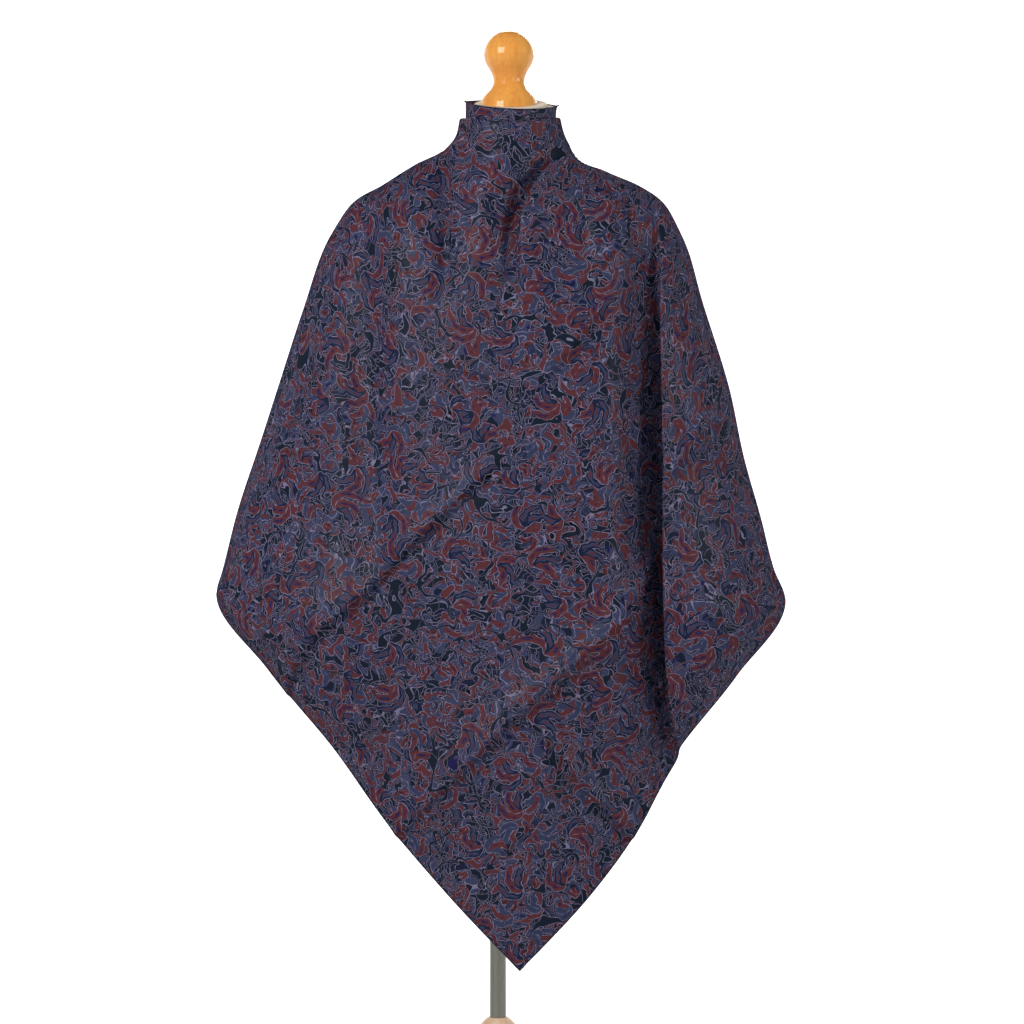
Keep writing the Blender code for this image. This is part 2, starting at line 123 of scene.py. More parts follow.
# The folds of the front, each a trough that runs down it. The columns are z, x, how far it spreads to the
# left and to the right of its deepest line, and its depth. One that stands out has a depth below zero.
FOLDS = {
    "deep fold at the right": (
        (0.600, 0.214, 0.034, 0.020, 0.006),
        (0.650, 0.211, 0.042, 0.020, 0.022),
        (0.700, 0.204, 0.052, 0.012, 0.042),
        (0.760, 0.198, 0.060, 0.009, 0.053),
        (0.880, 0.194, 0.062, 0.008, 0.056),
        (1.040, 0.193, 0.060, 0.009, 0.053),
        (1.180, 0.189, 0.056, 0.012, 0.043),
        (1.250, 0.187, 0.048, 0.016, 0.032),
        (1.310, 0.186, 0.036, 0.022, 0.016),
        (1.350, 0.186, 0.028, 0.024, 0.000),
    ),
    "soft fold at the left": (
        (0.560, -0.120, 0.045, 0.045, 0.000),
        (0.800, -0.145, 0.050, 0.050, 0.005),
        (1.000, -0.158, 0.048, 0.046, 0.011),
        (1.134, -0.162, 0.044, 0.042, 0.016),
        (1.240, -0.160, 0.036, 0.036, 0.010),
        (1.320, -0.158, 0.034, 0.034, 0.000),
    ),
    "cowl under the neck": (
        (1.195, 0.018, 0.026, 0.012, 0.000),
        (1.255, 0.018, 0.028, 0.008, 0.007),
        (1.300, 0.020, 0.030, 0.007, 0.011),
        (1.342, 0.032, 0.032, 0.007, 0.013),
        (1.378, 0.052, 0.030, 0.007, 0.012),
        (1.408, 0.078, 0.022, 0.007, 0.006),
        (1.424, 0.090, 0.018, 0.008, 0.000),
    ),
    "panel that laps over the cowl": (
        (1.190, 0.034, 0.024, 0.045, 0.000),
        (1.255, 0.031, 0.015, 0.045, -0.008),
        (1.300, 0.031, 0.011, 0.050, -0.014),
        (1.342, 0.043, 0.010, 0.055, -0.018),
        (1.378, 0.063, 0.010, 0.045, -0.016),
        (1.402, 0.088, 0.010, 0.030, -0.009),
        (1.424, 0.106, 0.012, 0.024, 0.000),
    ),
    "left of the neck": (
        (1.205, -0.066, 0.022, 0.016, 0.000),
        (1.270, -0.063, 0.022, 0.010, 0.007),
        (1.320, -0.060, 0.024, 0.008, 0.010),
        (1.365, -0.062, 0.026, 0.008, 0.012),
        (1.396, -0.066, 0.022, 0.008, 0.008),
        (1.416, -0.064, 0.016, 0.008, 0.000),
    ),
}

# Each trough also leans to the right as it goes in, under the cloth beside it.
UNDERCUT = 0.33

# Sharper lines on the front, as seen from it. The columns are x, z, how wide the line is to each side, and
# how far it is pushed in. A line that stands out has a depth below zero.
FRONT_LINES = {
    "panel between the two valleys": (
        (0.012, 1.436, 0.022, 0.0000),
        (0.010, 1.405, 0.028, -0.0100),
        (-0.014, 1.350, 0.030, -0.0150),
        (-0.024, 1.290, 0.030, -0.0130),
        (-0.024, 1.230, 0.032, -0.0070),
        (-0.024, 1.160, 0.034, 0.0000),
    ),
    "fall over the left shoulder": (
        (-0.098, 1.388, 0.018, 0.0000),
        (-0.104, 1.350, 0.026, -0.0090),
        (-0.108, 1.280, 0.032, -0.0090),
        (-0.110, 1.180, 0.036, 0.0000),
    ),
    "fall over the right shoulder": (
        (0.150, 1.376, 0.016, 0.0000),
        (0.140, 1.340, 0.022, -0.0060),
        (0.140, 1.280, 0.026, -0.0050),
        (0.140, 1.200, 0.030, 0.0000),
    ),
    "foot of the cowl": (
        (0.030, 1.342, 0.008, 0.0000),
        (0.021, 1.300, 0.009, 0.0050),
        (0.018, 1.255, 0.010, 0.0060),
        (0.021, 1.195, 0.013, 0.0000),
    ),
    "foot of the fold left of the neck": (
        (-0.060, 1.320, 0.008, 0.0000),
        (-0.061, 1.280, 0.010, 0.0050),
        (-0.066, 1.215, 0.013, 0.0000),
    ),
    "bright crease on the left shoulder": (
        (-0.064, 1.412, 0.005, 0.0000),
        (-0.072, 1.400, 0.006, -0.0045),
        (-0.084, 1.376, 0.007, -0.0045),
        (-0.094, 1.356, 0.008, 0.0000),
    ),
    "right of the panel": (
        (0.086, 1.414, 0.006, 0.0000),
        (0.104, 1.398, 0.009, 0.0080),
        (0.122, 1.386, 0.010, 0.0120),
        (0.144, 1.368, 0.011, 0.0100),
        (0.155, 1.342, 0.012, 0.0060),
        (0.158, 1.300, 0.014, 0.0000),
    ),
    "short crease on the right": (
        (0.104, 1.336, 0.006, 0.0000),
        (0.105, 1.318, 0.007, 0.0060),
        (0.108, 1.290, 0.008, 0.0060),
        (0.114, 1.258, 0.009, 0.0045),
        (0.128, 1.212, 0.012, 0.0000),
    ),
    "small fold at the tip": (
        (0.000, 0.450, 0.006, 0.0000),
        (0.014, 0.432, 0.007, 0.0035),
        (0.032, 0.418, 0.006, 0.0030),
    ),
}

# The same behind, where the cloth falls from the shoulders to its side corners.
BACK_LINES = {
    "long fold at the left": (
        (-0.110, 1.330, 0.016, 0.0000),
        (-0.150, 1.200, 0.020, 0.0080),
        (-0.200, 1.050, 0.022, 0.0120),
        (-0.240, 0.900, 0.022, 0.0090),
        (-0.262, 0.800, 0.020, 0.0040),
    ),
    "short fold at the left": (
        (-0.070, 1.370, 0.012, 0.0000),
        (-0.090, 1.280, 0.014, 0.0045),
        (-0.125, 1.120, 0.016, 0.0055),
        (-0.150, 1.000, 0.016, 0.0000),
    ),
    "long fold at the right": (
        (0.150, 1.320, 0.016, 0.0000),
        (0.185, 1.190, 0.019, 0.0070),
        (0.215, 1.060, 0.022, 0.0110),
        (0.258, 0.900, 0.021, 0.0100),
        (0.275, 0.790, 0.020, 0.0040),
    ),
    "short fold at the right": (
        (0.105, 1.360, 0.012, 0.0000),
        (0.120, 1.270, 0.014, 0.0040),
        (0.145, 1.110, 0.017, 0.0050),
        (0.160, 1.010, 0.016, 0.0000),
    ),
}

# How soon the relief of the front gives way to that of the back, where the cloth turns sideways.
FACING_GAIN = 3.0

# Creases from storage, folded in quarters: straight on the cloth and parallel to its hems. The columns are
# rise, offset, start, end, step, ridge and lean. rise is 1 for one that runs up to the right and -1 for one
# that runs up to the left. offset is its height on the cloth at the middle, and start and end say where it
# fades, counted up the cloth and across together. step is how far the cloth above the crease stands out over
# the cloth below it, ridge is a sharp ridge along it and lean is a broad one.
CREASES = (
    (1, 0.165, 0.060, 0.250, 0.0054, 0.0014, 0.0000),
    (1, 0.325, -0.05, 0.720, 0.0062, 0.0095, 0.0150),
    (1, 0.340, 0.860, 1.120, 0.0056, 0.0070, 0.0040),
    (1, 0.658, -0.05, 0.660, 0.0098, 0.0028, 0.0040),
    (1, 0.705, 0.760, 0.980, 0.0066, 0.0020, 0.0000),
    (1, 0.915, 0.200, 0.480, 0.0056, 0.0016, 0.0000),
    (-1, 0.322, -0.05, 0.340, 0.0098, 0.0022, 0.0060),
    (-1, 0.955, 0.250, 0.480, 0.0036, 0.0008, 0.0000),
)
CREASE_EDGE = 0.003
FADE_IN = 0.05
FADE_OUT = 0.10
STEP_SPREAD = 0.012
RIDGE_SPREAD = 0.008
LEAN_SPREAD = 0.045

# The side corners swing out below a line across each. The columns are x and z along the line, and how steeply
# the cloth below it stands out.
SWINGS = {
    "left corner": (
        (-0.400, 0.885, 0.42),
        (-0.327, 0.896, 0.42),
        (-0.220, 0.920, 0.32),
        (-0.130, 0.938, 0.00),
    ),
    "right corner": (
        (0.205, 0.940, 0.00),
        (0.255, 0.921, 0.36),
        (0.332, 0.889, 0.46),
        (0.400, 0.865, 0.46),
    ),
}
SWING_SOFT = 0.010  # height over which the swing sets in
SWING_DROP = 0.08  # the cloth comes back to hang straight over this drop

# The neck band.
NECK_X = 0.0160
NECK_RADIUS = 0.0555
NECK_TILT = 0.26  # rise of the neck's top for each metre back
BAND_OPENING = math.radians(5.0)  # between its two ends at the back
BAND_GAP = 0.0006
BAND_BOTTOM = 1.428
BAND_TOP_MIDDLE = 1.4727
BAND_TOP_LEAN = 0.0027
BAND_BACK_DROP = 0.005  # the back stands this much lower than the tilt makes it
BAND_COLUMNS = 240
BAND_STANDING = 14  # rows up to the roll at its top
BAND_ROWS = 20
BAND_ROLL = 0.0009
BAND_FLARE = 0.0022  # the corner that stands out at the right
FLARE_SPREAD = 0.16  # radians
FLARE_RISE = 8  # a high power keeps the flare to the band's top
BAND_RIPPLES = ((0.0003, 5, 0.6), (0.0002, 11, 0.0))  # height, waves round the neck and phase
BAND_ON_PRINT = (0.3, 0.9)  # where the band's corner lies on the print

UV_NAME = "flat cloth"  # each point's place on the uncut cloth, in metres
TUBE_SIDES = 8

# Where the cloth rests on the form.
REST_GAP = 0.0009
REST_REACH = 0.030

# At the neck the cloth turns over a soft round fold and goes down inside.
TOP_ROLL = 0.0016
TOP_ROLL_STEPS = 5
TOP_INSIDE = 0.012
TOP_INSIDE_STEPS = 3


def through(rows, column, at):
    """A smooth curve through one column of a table, against its first, with no swing past its rows."""
    table = np.array(rows, float)
    x, y = table[:, 0], table[:, column]
    step = np.diff(x)
    rise = np.diff(y) / step
    slope = np.empty_like(y)
    before, after = rise[:-1], rise[1:]
    onward = before * after > 0
    mean = (before * step[1:] + after * step[:-1]) / (step[1:] + step[:-1])
    gentle = np.minimum(np.abs(mean), 3 * np.minimum(np.abs(before), np.abs(after)))
    slope[1:-1] = np.where(onward, np.sign(mean) * gentle, 0.0)
    slope[0], slope[-1] = rise[0], rise[-1]
    at = np.clip(np.asarray(at, float), x[0], x[-1])
    k = np.clip(np.searchsorted(x, at, side="right") - 1, 0, len(step) - 1)
    t = (at - x[k]) / step[k]
    return (
        y[k] * (1 + 2 * t) * (1 - t) ** 2
        + slope[k] * step[k] * t * (1 - t) ** 2
        + y[k + 1] * t**2 * (3 - 2 * t)
        + slope[k + 1] * step[k] * t**2 * (t - 1)
    )


def fold_depth(x, z):
    """How far the folds push the cloth back at a place on the front."""
    total = np.zeros_like(x)
    for rows in FOLDS.values():
        middle, to_left, to_right = (through(rows, k, z) for k in (1, 2, 3))
        depth = through(rows, 4, z)
        width = np.where(x < middle, to_left, to_right)
        off = np.clip(np.abs(x - middle) / width, 0.0, 1.0)
        total += depth * 0.5 * (1 + np.cos(np.pi * off))
    return total


def section(cloth, side):
    """The line that one side of the cloth follows at a height on it, from the middle of the front."""
    cx, cy, cz = (float(through(FRONT, k, cloth)) for k in (1, 2, 3))
    ex, ey, ez, reach, bx, by = (float(through(side, k, cloth)) for k in range(1, 7))
    angle = math.radians(min(reach, 90.0))
    turn = np.linspace(0.0, angle, SECTION_STEPS)
    across = np.sin(turn) / math.sin(angle)
    x = cx + (ex - cx) * across
    y = cy + (ey - cy) * (1 - np.cos(turn)) / (1 - math.cos(angle))
    z = cz + (ez - cz) * across**2
    pushed = fold_depth(x, z)
    x = x + UNDERCUT * pushed
    y = y + pushed
    if cloth > TURN:
        on = np.linspace(0.0, math.pi / 2, SECTION_STEPS)[1:]
        lean = 1 - np.cos(on)
        x = np.concatenate([x, ex + (bx - ex) * lean])
        y = np.concatenate([y, ey + (by - ey) * np.sin(on)])
        z = np.concatenate([z, ez + BEHIND_RISE * (cz - ez) * lean**2])
    return np.column_stack([x, y, z])


def half_width_of_cut(cloth):
    return min(cloth, DIAGONAL - cloth)


def length_of(line):
    return np.concatenate([[0.0], np.cumsum(np.linalg.norm(np.diff(line, axis=0), axis=1))])


@functools.cache
def slack_at_turn(side):
    """How much longer the front's line is than the cloth across it, where the hem passes to the back."""
    return length_of(section(TURN, side))[-1] / half_width_of_cut(TURN)


def hung(cloth, side, shares):
    """Places across the cloth at a height on it, by their share of the way from the middle to the hem."""
    line = section(cloth, side)
    run = length_of(line)
    to_hem = run[-1]
    if cloth > TURN:
        ease = 1 + (slack_at_turn(side) - 1) * math.exp(-(cloth - TURN) / SLACK_SPREAD)
        to_hem = min(run[-1], half_width_of_cut(cloth) * ease)
    at = np.asarray(shares) * to_hem
    return np.column_stack([np.interp(at, run, line[:, k]) for k in range(3)])


class Sheet:
    """A grid of places on the cloth, turned 45 degrees to its hems."""

    def __init__(self):
        self.index = {}
        self.points = []
        self.flat = []
        self.faces = []

    def add(self, key, place, flat):
        self.index[key] = len(self.points)
        self.points.append(place)
        self.flat.append(flat)

    def join(self):
        """Triangles between the four neighbours of each cell, or three at a hem."""
        columns = [key[0] for key in self.index]
        rows = [key[1] for key in self.index]
        for row in range(min(rows), max(rows)):
            for column in range(min(columns), max(columns)):
                ring = ((column, row), (column + 1, row), (column + 1, row + 1), (column, row + 1))
                corners = [self.index[key] for key in ring if key in self.index]
                if len(corners) == 4 and column >= 0:
                    self.faces += [corners[:3], [corners[0], corners[2], corners[3]]]
                elif len(corners) == 4:
                    self.faces += [[corners[0], corners[1], corners[3]], corners[1:]]
                elif len(corners) == 3:
                    self.faces.append(corners)


def fall_sheet():
    sheet = Sheet()
    for row in range(2 * CELLS - FOLDED_IN + 1):
        cloth = max(row * CELL, LOWEST)
        width = min(row, 2 * CELLS - row)
        shares = np.arange(0, width + 1) / max(width, 1)
        for sign, side in ((-1, LEFT), (1, RIGHT)):
            places = hung(cloth, side, shares)
            for column in range(0 if sign < 0 else 1, width + 1):
                sheet.add((sign * column, row), places[column], (sign * column * CELL, row * CELL))
    turn_in(sheet, 2 * CELLS - FOLDED_IN)
    sheet.join()
    return sheet


def turn_in(sheet, top):
    """The rows above the neck fold: half a roll towards the neck and a short way down inside it."""
    for step in range(1, TOP_ROLL_STEPS + TOP_INSIDE_STEPS + 1):
        angle = math.pi * min(step / TOP_ROLL_STEPS, 1.0)
        down = TOP_INSIDE * max(step - TOP_ROLL_STEPS, 0) / TOP_INSIDE_STEPS
        used = TOP_ROLL * angle + down
        for column in range(step - FOLDED_IN, FOLDED_IN - step + 1):
            place = sheet.points[sheet.index[column, top]]
            inward = np.array([NECK_X - place[0], -place[1], 0.0])
            inward /= np.linalg.norm(inward)
            rise = np.array([0.0, 0.0, TOP_ROLL * math.sin(angle) - down])
            across, up = sheet.flat[sheet.index[column, top]]
            turned = place + rise + inward * TOP_ROLL * (1 - math.cos(angle))
            sheet.add((column, top + step), turned, (across, up + used))


def along_line(rows, x, z):
    """The distance of places from a line of rows in the front view, with the rows' last two columns there."""
    rows = np.array(rows, float)
    nearest = np.full(len(x), np.inf)
    third, fourth = np.zeros(len(x)), np.zeros(len(x))
    for a, b in zip(rows[:-1], rows[1:]):
        run = b[:2] - a[:2]
        t = np.clip(((x - a[0]) * run[0] + (z - a[1]) * run[1]) / (run @ run), 0.0, 1.0)
        off = np.hypot(x - a[0] - t * run[0], z - a[1] - t * run[1])
        closer = off < nearest
        nearest = np.where(closer, off, nearest)
        third = np.where(closer, a[2] + t * (b[2] - a[2]), third)
        fourth = np.where(closer, a[3] + t * (b[3] - a[3]), fourth)
    return nearest, third, fourth


def pushed_in(lines, x, z):
    total = np.zeros(len(x))
    for rows in lines.values():
        off, half_width, depth = along_line(rows, x, z)
        total += depth * np.exp(-((off / half_width) ** 2))
    return total


def swung_out(x, z):
    """How far the cloth below the lines at the side corners stands out."""
    total = np.zeros(len(x))
    for rows in SWINGS.values():
        line, slope = (through(rows, k, x) for k in (1, 2))
        below = SWING_SOFT * np.logaddexp(0.0, (line - z) / SWING_SOFT)
        total += slope * SWING_DROP * (1 - np.exp(-below / SWING_DROP))
    return total


def creased(across, up):
    """How far the storage creases stand out at places on the flat cloth."""
    total = np.zeros(len(across))
    for rise, offset, start, end, step, ridge, lean in CREASES:
        above = (up - rise * across - offset) / math.sqrt(2)
        along = up + rise * across
        fade = np.clip((along - start) / FADE_IN, 0.0, 1.0) * np.clip((end - along) / FADE_OUT, 0.0, 1.0)
        shape = step * np.tanh(above / CREASE_EDGE) * np.exp(-np.abs(above) / STEP_SPREAD)
        shape += ridge * np.exp(-np.abs(above) / RIDGE_SPREAD) + lean * np.exp(-np.abs(above) / LEAN_SPREAD)
        total += fade * shape
    return total


def with_relief(points, faces, flat):
    """The cloth with its sharper lines moved along its normal, and its creases and corners straight out."""
    normal = normals_of(points, faces)
    x, z = points[:, 0], points[:, 2]
    front = np.clip(-FACING_GAIN * normal[:, 1], 0.0, 1.0)
    back = np.clip(FACING_GAIN * normal[:, 1], 0.0, 1.0)
    inward = front * pushed_in(FRONT_LINES, x, z) + back * pushed_in(BACK_LINES, x, z)
    moved = points - normal * inward[:, None]
    moved[:, 1] -= swung_out(x, z) + (front - back) * creased(flat[:, 0], flat[:, 1])
    return clear_of_form(moved)


def clear_of_form(points):
    """The cloth rests on the form: what would sink into it is moved out to just above it."""
    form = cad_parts["form_torso"]
    for k, place in enumerate(points):
        at = Vector(place + AXIS)
        found, on_form, normal, _ = form.closest_point_on_mesh(at, distance=REST_REACH)
        if found and (at - on_form).dot(normal) < REST_GAP:
            points[k] = np.array(on_form + normal * REST_GAP) - AXIS
    return points


def normals_of(points, faces):
    a, b, c = (points[faces[:, k]] for k in range(3))
    normal = np.zeros_like(points)
    for k in range(3):
        np.add.at(normal, faces[:, k], np.cross(b - a, c - a))
    return normal / np.linalg.norm(normal, axis=1)[:, None]


def thickened(points, faces, wall):
    """A closed wall about a sheet of triangles."""
    normal = normals_of(points, faces)
    outer, inner = points + normal * wall / 2, points - normal * wall / 2
    count = len(points)
    ends = np.concatenate([faces[:, [0, 1]], faces[:, [1, 2]], faces[:, [2, 0]]])
    backwards = {(int(q), int(p)) for p, q in ends}
    rim = [(int(p), int(q)) for p, q in ends if (int(p), int(q)) not in backwards]
    walls = [f for p, q in rim for f in ((q, p, p + count), (q, p + count, q + count))]
    every = [tuple(f) for f in faces] + [tuple(f[::-1] + count) for f in faces] + walls
    return np.concatenate([outer, inner]), every


def add_mesh(name, points, faces, made_of, flat, node=None):
    """A smooth mesh of silk that rides on the part. flat is each point's place on the uncut cloth."""
    mesh = bpy.data.meshes.new(name)
    moved = np.asarray(points, float) + AXIS
    mesh.from_pydata([tuple(p) for p in moved], [], [tuple(int(i) for i in f) for f in faces])
    corner = np.zeros(len(mesh.loops), np.int32)
    mesh.loops.foreach_get("vertex_index", corner)
    layer = mesh.uv_layers.new(name=UV_NAME)
    layer.data.foreach_set("uv", np.asarray(flat, np.float32)[corner].ravel())
    mesh.materials.append(made_of)
    mesh.shade_smooth()
    obj = bpy.data.objects.new(name, mesh)
    bpy.context.scene.collection.objects.link(obj)
    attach(obj, "root")
    if node:
        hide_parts(node)
    return obj


def tube(path, radius, sides):
    """Points and faces of a round tube along a path."""
    path = np.asarray(path, float)
    along = np.gradient(path, axis=0)
    along /= np.linalg.norm(along, axis=1)[:, None]
    up = np.tile((0.0, 1.0, 0.0), (len(path), 1))
    right = np.cross(along, up)
    right /= np.linalg.norm(right, axis=1)[:, None]
    up = np.cross(right, along)
    points, faces = [], []
    for place, r, u in zip(path, right, up):
        for k in range(sides):
            turn = 2 * math.pi * k / sides
            points.append(place + radius * (math.cos(turn) * r + math.sin(turn) * u))
    for ring in range(len(path) - 1):
        for k in range(sides):
            a, b = ring * sides + k, ring * sides + (k + 1) % sides
            faces.append((a, b, b + sides, a + sides))
    faces.append(tuple(range(sides))[::-1])
    faces.append(tuple(range((len(path) - 1) * sides, len(path) * sides)))
    return points, faces


# The print's inks, as linear colours.
INK = {
    "ground": (0.0085, 0.0130, 0.0380),
    "teal": (0.0068, 0.0125, 0.0250),
    "slate": (0.0370, 0.0440, 0.0960),
    "deep slate": (0.0180, 0.0230, 0.0560),
    "indigo": (0.0120, 0.0110, 0.0700),
    "rust": (0.0900, 0.0255, 0.0310),
    "dark rust": (0.0420, 0.0130, 0.0190),
    "red": (0.2200, 0.0170, 0.0190),
    "line": (0.1750, 0.1600, 0.2600),
    "shade": (0.0008, 0.0010, 0.0018),
}


class Graph:
    """Short calls for the nodes of one material."""

    def __init__(self, tree):
        self.tree = tree

    def node(self, kind, **settings):
        made = self.tree.nodes.new(kind)
        for name, value in settings.items():
            setattr(made, name, value)
        return made

    def link(self, source, target):
        if isinstance(source, bpy.types.NodeSocket):
            self.tree.links.new(source, target)
        else:
            target.default_value = source

    def math(self, operation, *terms, clamp=False):
        made = self.node("ShaderNodeMath", operation=operation, use_clamp=clamp)
        for term, socket in zip(terms, made.inputs):
            self.link(term, socket)
        return made.outputs[0]

    def vector(self, operation, *terms):
        made = self.node("ShaderNodeVectorMath", operation=operation)
        if operation == "SCALE":
            self.link(terms[0], made.inputs[0])
            self.link(terms[1], made.inputs["Scale"])
        else:
            for term, socket in zip(terms, made.inputs):
                self.link(term, socket)
        return made.outputs["Value"] if operation == "LENGTH" else made.outputs[0]

    def xyz(self, source):
        made = self.node("ShaderNodeSeparateXYZ")
        self.link(source, made.inputs[0])
        return made.outputs

    def noise(self, at, scale, detail=2.0, roughness=0.5, dimensions="2D"):
        made = self.node("ShaderNodeTexNoise", noise_dimensions=dimensions)
        self.link(at, made.inputs["Vector"])
        made.inputs["Scale"].default_value = scale
        made.inputs["Detail"].default_value = detail
        made.inputs["Roughness"].default_value = roughness
        return made.outputs

    def cells(self, at, scale, randomness):
        made = self.node("ShaderNodeTexVoronoi", voronoi_dimensions="2D", feature="F1")
        self.link(at, made.inputs["Vector"])
        made.inputs["Scale"].default_value = scale
        made.inputs["Randomness"].default_value = randomness
        return made.outputs

    def between(self, value, low, high, to_low=0.0, to_high=1.0):
        """A smooth step from to_low to to_high, as the value goes from low to high."""
        made = self.node("ShaderNodeMapRange", interpolation_type="SMOOTHSTEP")
        for term, place in ((value, 0), (low, 1), (high, 2), (to_low, 3), (to_high, 4)):
            self.link(term, made.inputs[place])
        return made.outputs[0]

    def mix(self, factor, first, second):
        made = self.node("ShaderNodeMix", data_type="RGBA")
        self.link(factor, made.inputs[0])
        for term, socket in ((first, made.inputs[6]), (second, made.inputs[7])):
            self.link((*term, 1.0) if isinstance(term, tuple) else term, socket)
        return made.outputs[2]

    def ramp(self, value, stops):
        """Flat inks along a value from 0 to 1."""
        made = self.node("ShaderNodeValToRGB")
        made.color_ramp.interpolation = "CONSTANT"
        made.color_ramp.elements.remove(made.color_ramp.elements[1])
        made.color_ramp.elements[0].position = stops[0][0]
        made.color_ramp.elements[0].color = (*INK[stops[0][1]], 1.0)
        for place, name in stops[1:]:
            made.color_ramp.elements.new(place).color = (*INK[name], 1.0)
        self.link(value, made.inputs[0])
        return made.outputs[0]


# The leaves of the print. Inks of one leaf go from just outside its edge to its heart, by a share that is
# EDGE_SHARE at its edge and grows by one for each LEAF_DEPTH further in.
RAGGED_SCALE = 150.0
RAGGED_BY = 0.0036  # metres
NET_RANDOMNESS = 0.8
FAN_SPREAD = 0.80  # radians between neighbours in a fan
MIDDLE_LENGTH = 0.92  # of a fan's middle leaf, as a share of its reach
NEIGHBOUR_LENGTH = 0.22  # how much longer one neighbour is, and how much shorter the other
SHORTEST = 0.80  # reach of the shortest fan, as a share of the length
LENGTH_SPREAD = 0.35
TIP_POWER = 0.75
LOBE_PACE = 4.5  # radians of the lobes' wave for each width along a leaf
LOBE_SIZE = 0.15
FULLNESS = 3.0
FAMILY_STEP = 0.37  # how the family of inks changes from a leaf to its neighbour
LEAF_DEPTH = 0.012
EDGE_SHARE = 0.15
LEAF_FROM = 0.06  # the share at which a leaf's dark outline begins
EDGE = ((0.0, "shade"), (0.12, "line"))
SLATE_LEAF = (*EDGE, (0.20, "slate"), (0.46, "deep slate"), (0.53, "slate"), (0.70, "indigo"))
DEEP_LEAF = (*EDGE, (0.20, "deep slate"), (0.48, "slate"), (0.70, "ground"))
RUST_LEAF = (*EDGE, (0.20, "rust"), (0.62, "indigo"), (0.78, "slate"))
RED_LEAF = (*EDGE, (0.20, "rust"), (0.44, "dark rust"), (0.62, "red"))
DARK_LEAF = (*EDGE, (0.20, "ground"), (0.46, "slate"), (0.66, "rust"))

# The layers of leaves, from the smallest to the largest: where its net starts, cells to the metre, length
# and width of a leaf, how it curls in radians to the metre, the share of empty cells, and its two families.
SMALL_LEAVES = ((8.29, 5.41, 0.0), 50.0, 0.0165, 0.0040, 120.0, 0.40, (SLATE_LEAF, RUST_LEAF))
MIDDLE_LEAVES = ((2.57, 6.03, 0.0), 36.0, 0.0240, 0.0052, 85.0, 0.38, (DEEP_LEAF, RED_LEAF))
LONG_LEAVES = ((4.13, 1.91, 0.0), 27.0, 0.0320, 0.0066, 65.0, 0.42, (RUST_LEAF, SLATE_LEAF))
LARGE_LEAVES = ((0.31, 0.77, 0.0), 20.0, 0.0430, 0.0080, 48.0, 0.46, (DARK_LEAF, RUST_LEAF))

# The branches: where the noise of each starts, the noise's scale, the level that the branch follows, its
# width and its ink.
RUST_STEMS = ((0.40, 5.20, 0.0), 15.0, 0.53, 0.016, "rust")
TEAL_STEMS = ((3.10, 1.70, 0.0), 16.0, 0.46, 0.016, "teal")
STEM_PUSH_SCALE = 30.0
STEM_PUSH = 0.03  # metres
SWELL_SCALE = 3.0  # times the branch's own scale
SWELL_SIZE = 2.4
SWELL_LEAST = 0.7
STEM_LINE = 0.36
STEM_BODY = 0.18

# The bands of the ground between the leaves, each from a level of a slow noise up to the next.
GROUND_PUSH_SCALE = 26.0
GROUND_PUSH = 0.050  # metres
GROUND_SCALE = 44.0
GROUND_REPEATS = 2.0
COOL_BANDS = (
    (0.0, "line"), (0.05, "teal"), (0.30, "shade"), (0.33, "line"), (0.37, "slate"), (0.55, "ground"),
    (0.72, "line"), (0.75, "teal"),
)
WARM_BANDS = (
    (0.0, "line"), (0.05, "slate"), (0.30, "indigo"), (0.38, "teal"), (0.60, "shade"), (0.63, "line"),
    (0.67, "rust"), (0.86, "slate"),
)
WARM_START = (7.7, 3.3, 0.0)
WARM_SCALE = 30.0
WARM_FROM = 0.53


def push(g, at, scale, by):
    """A soft shift by a noise, at most half of by each way."""
    found = g.noise(at, scale, 1.0)["Color"]
    return g.vector("SCALE", g.vector("SUBTRACT", found, (0.5, 0.5, 0.5)), by)


